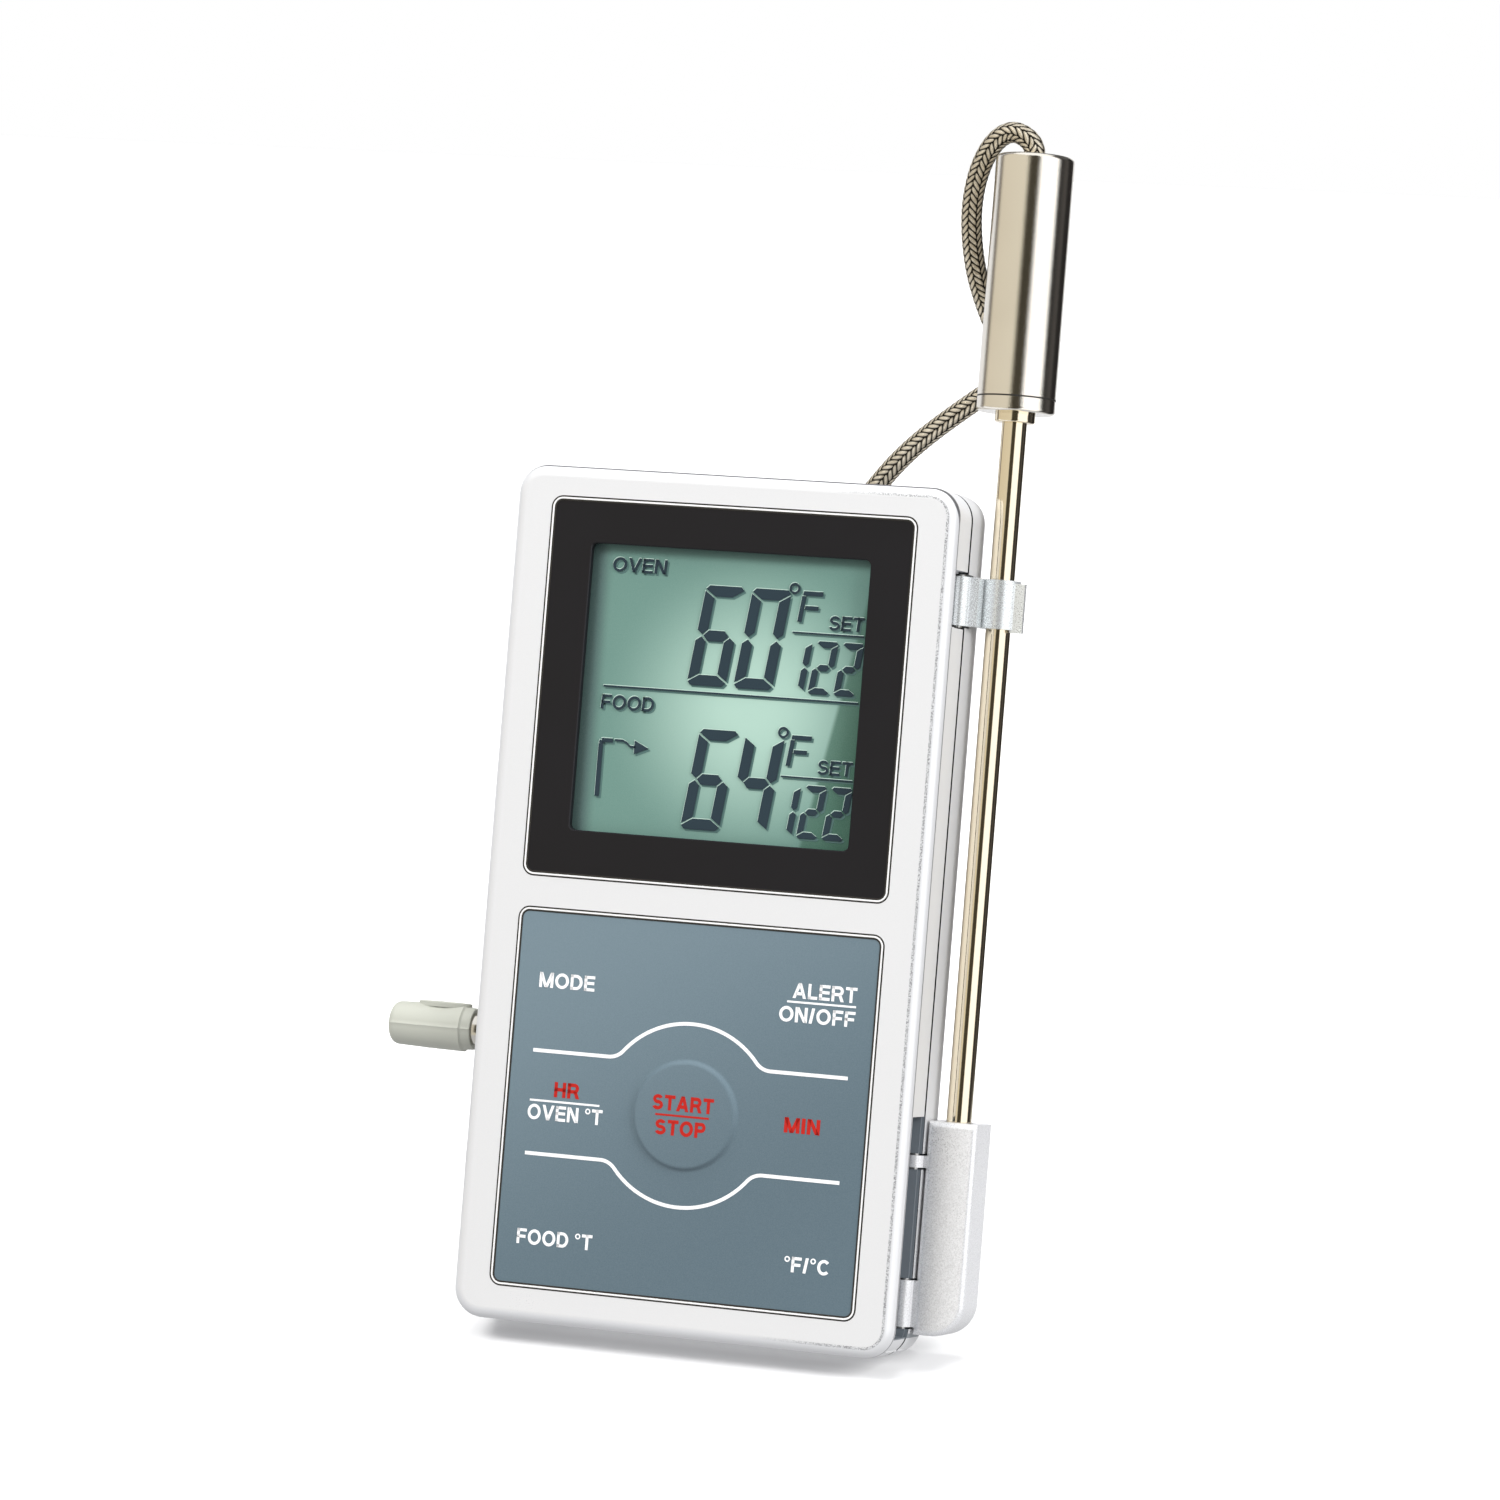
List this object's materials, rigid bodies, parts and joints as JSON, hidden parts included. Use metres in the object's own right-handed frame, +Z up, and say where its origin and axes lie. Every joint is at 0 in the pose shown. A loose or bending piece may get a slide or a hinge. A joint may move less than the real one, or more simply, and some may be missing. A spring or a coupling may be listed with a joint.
{
  "type": "probe thermometer",
  "caption": "Digital meat thermometer: flat case with display and membrane keypad on a fold-out stand, steel probe in a swinging side holder, braided cable coiled behind.",
  "frame": {"origin": "on the standing surface, under the middle of the box round the object without its cable and plug", "axes": "+X to the object's right as seen from its front, +Y backwards, +Z upwards; the case leans back 18 degrees"},
  "size_m": [0.0988, 0.0945, 0.1789],
  "materials": {
    "case_silver": "fine satin silver-white",
    "holder_silver": "satin silver, fine grain",
    "window_clear": "clear plate, black surround",
    "lcd_glass": "grey-green reflective display",
    "white_plastic": "matt",
    "black_rubber": "matt",
    "film_slate": "fine metallic slate",
    "key_grey": "matt",
    "board_green": "solder mask",
    "epoxy_black": "gloss",
    "nickel": "bright",
    "steel": "brushed",
    "ribbon_white": "matt",
    "black_plastic": "matt",
    "brass": "satin",
    "cell_can": "printed sleeve",
    "sensor_epoxy": "gloss bead",
    "insulator": "matt",
    "plug_grey": "satin",
    "braid": "stainless braid over insulated wires",
    "tie_black": "matt"
  },
  "bodies": {
    "case": {"front_shell": "case_silver", "rear_shell": "case_silver", "display_window": "window_clear", "lcd_panel": "lcd_glass", "lcd_frame": "white_plastic", "connector_strips": "black_rubber", "main_board": "board_green", "controller_chip": "epoxy_black", "quartz_crystal": "nickel", "key_board": "board_green", "ribbon_cable": "ribbon_white", "buzzer_cup": "black_plastic", "buzzer_disc": "brass", "keypad_film": "film_slate", "snap_domes": "steel", "battery": "cell_can", "battery_spring": "steel", "battery_contacts": "nickel", "magnets": "nickel", "case_screws": "steel", "stand_pin": "steel", "pocket_pin": "steel", "clip_pin": "steel", "jack_socket": "black_plastic", "cable_lead": "braid", "cable_rise": "braid", "cable_coil": "braid", "cable_tie": "tie_black"},
    "battery_door": {"battery_door": "case_silver"},
    "stand": {"stand_leg": "case_silver"},
    "probe_pocket": {"probe_pocket": "holder_silver"},
    "probe_clip": {"probe_clip": "holder_silver"},
    "probe": {"probe_stem": "steel", "food_sensor": "sensor_epoxy", "probe_collar": "steel", "handle_base": "steel", "handle_tube": "steel", "oven_sensor": "sensor_epoxy", "handle_insulator": "insulator", "cable_bush": "insulator", "cable_loop": "braid"},
    "plug": {"plug_body": "plug_grey", "plug_contacts": "nickel", "plug_insulators": "black_plastic"},
    "mode_key": {"mode_key": "key_grey"},
    "alert_key": {"alert_key": "key_grey"},
    "hour_key": {"hour_key": "key_grey"},
    "start_stop_key": {"start_stop_key": "key_grey"},
    "minute_key": {"minute_key": "key_grey"},
    "food_key": {"food_key": "key_grey"},
    "unit_key": {"unit_key": "key_grey"}
  },
  "joints": [
    {"name": "pocket_fold", "type": "hinge", "parent": "case", "child": "probe_pocket", "pos_m": [0.02872, -0.02748, 0.00525], "axis": [0, 0.309, 0.9511], "range_deg": [-75, 0]},
    {"name": "clip_fold", "type": "hinge", "parent": "case", "child": "probe_clip", "pos_m": [0.02872, -0.02748, 0.00525], "axis": [0, 0.309, 0.9511], "range_deg": [-75, 0]},
    {"name": "probe_slide", "type": "slide", "parent": "probe_pocket", "child": "probe", "axis": [0, 0.309, 0.9511], "range_m": [0, 0.034]},
    {"name": "stand_fold", "type": "hinge", "parent": "case", "child": "stand", "pos_m": [-0.00488, 0.00393, 0.07958], "axis": [1, 0, 0], "range_deg": [-23.5, 0]},
    {"name": "plug_pull", "type": "slide", "parent": "case", "child": "plug", "axis": [-1, 0, 0], "range_m": [0, 0.014]},
    {"name": "battery_door_lift", "type": "slide", "parent": "case", "child": "battery_door", "axis": [0, 0.9511, -0.309], "range_m": [0, 0.012]},
    {"name": "mode_key_press", "type": "slide", "parent": "case", "child": "mode_key", "axis": [0, 0.9511, -0.309], "range_m": [0, 0.00035], "stiffness_N_per_m": 800},
    {"name": "alert_key_press", "type": "slide", "parent": "case", "child": "alert_key", "axis": [0, 0.9511, -0.309], "range_m": [0, 0.00035], "stiffness_N_per_m": 800},
    {"name": "hour_key_press", "type": "slide", "parent": "case", "child": "hour_key", "axis": [0, 0.9511, -0.309], "range_m": [0, 0.00035], "stiffness_N_per_m": 800},
    {"name": "start_stop_key_press", "type": "slide", "parent": "case", "child": "start_stop_key", "axis": [0, 0.9511, -0.309], "range_m": [0, 0.00035], "stiffness_N_per_m": 800},
    {"name": "minute_key_press", "type": "slide", "parent": "case", "child": "minute_key", "axis": [0, 0.9511, -0.309], "range_m": [0, 0.00035], "stiffness_N_per_m": 800},
    {"name": "food_key_press", "type": "slide", "parent": "case", "child": "food_key", "axis": [0, 0.9511, -0.309], "range_m": [0, 0.00035], "stiffness_N_per_m": 800},
    {"name": "unit_key_press", "type": "slide", "parent": "case", "child": "unit_key", "axis": [0, 0.9511, -0.309], "range_m": [0, 0.00035], "stiffness_N_per_m": 800}
  ],
  "couplings": [
    {"joint": "clip_fold", "follows": "pocket_fold", "ratio": 1}
  ]
}
